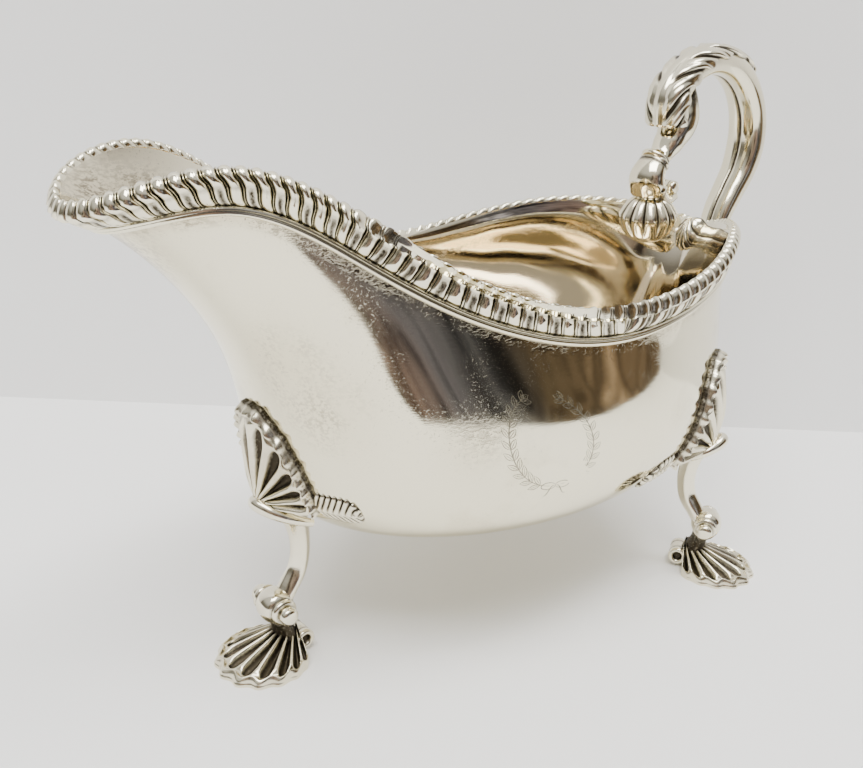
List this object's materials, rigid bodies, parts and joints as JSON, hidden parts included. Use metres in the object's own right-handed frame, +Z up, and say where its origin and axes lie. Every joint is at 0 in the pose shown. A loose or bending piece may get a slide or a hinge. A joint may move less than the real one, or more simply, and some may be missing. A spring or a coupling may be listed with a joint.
{
  "type": "sauce boat",
  "caption": "Oval silver sauce boat with a wide pouring lip, gadrooned rim, flying scroll handle and shell-and-scroll feet.",
  "frame": {"origin": "centre of the overall box in plan, on the plane that the feet stand on", "axes": "+X towards the handle, -X towards the pouring lip, +Z up; the boat is symmetrical about the XZ plane"},
  "size_m": [0.1869, 0.0902, 0.1217],
  "materials": {
    "sheet_silver": "polished silver sheet, hand worn, faint scratches and small patches of tarnish",
    "border_silver": "cast silver gadroons, bright crests and dark oxidised grooves",
    "handle_silver": "polished cast silver",
    "leaf_silver": "chased cast silver leaves, dark oxidised veins",
    "bud_silver": "cast silver, warm toned, dark between the flutes",
    "shell_silver": "cast silver shells, bright ribs and black flutes",
    "foot_silver": "polished cast silver with a little tarnish in the joints"
  },
  "bodies": {
    "root": {"bowl": "sheet_silver", "rim_border_right": "border_silver", "rim_border_left": "border_silver", "rim_wire": "sheet_silver", "handle_half_right": "handle_silver", "handle_half_left": "handle_silver", "handle_leaf_cap": "leaf_silver", "handle_scroll": "handle_silver", "handle_collar": "handle_silver", "handle_scroll_buttons": "handle_silver", "handle_bud": "bud_silver", "handle_spur": "handle_silver", "handle_root_leaf": "leaf_silver", "knee_shell_front": "shell_silver", "knee_shell_rear_right": "shell_silver", "knee_shell_rear_left": "shell_silver", "knee_collar_front": "foot_silver", "knee_collar_rear_right": "foot_silver", "knee_collar_rear_left": "foot_silver", "knee_sprays_front": "shell_silver", "knee_sprays_rear_right": "shell_silver", "knee_sprays_rear_left": "shell_silver", "leg_front": "foot_silver", "leg_rear_right": "foot_silver", "leg_rear_left": "foot_silver", "knuckle_front": "foot_silver", "knuckle_rear_right": "foot_silver", "knuckle_rear_left": "foot_silver", "knuckle_buttons_front": "foot_silver", "knuckle_buttons_rear_right": "foot_silver", "knuckle_buttons_rear_left": "foot_silver", "foot_shell_front": "shell_silver", "foot_shell_rear_right": "shell_silver", "foot_shell_rear_left": "shell_silver", "foot_volute_front": "foot_silver", "foot_volute_rear_right": "foot_silver", "foot_volute_rear_left": "foot_silver"}
  },
  "joints": []
}
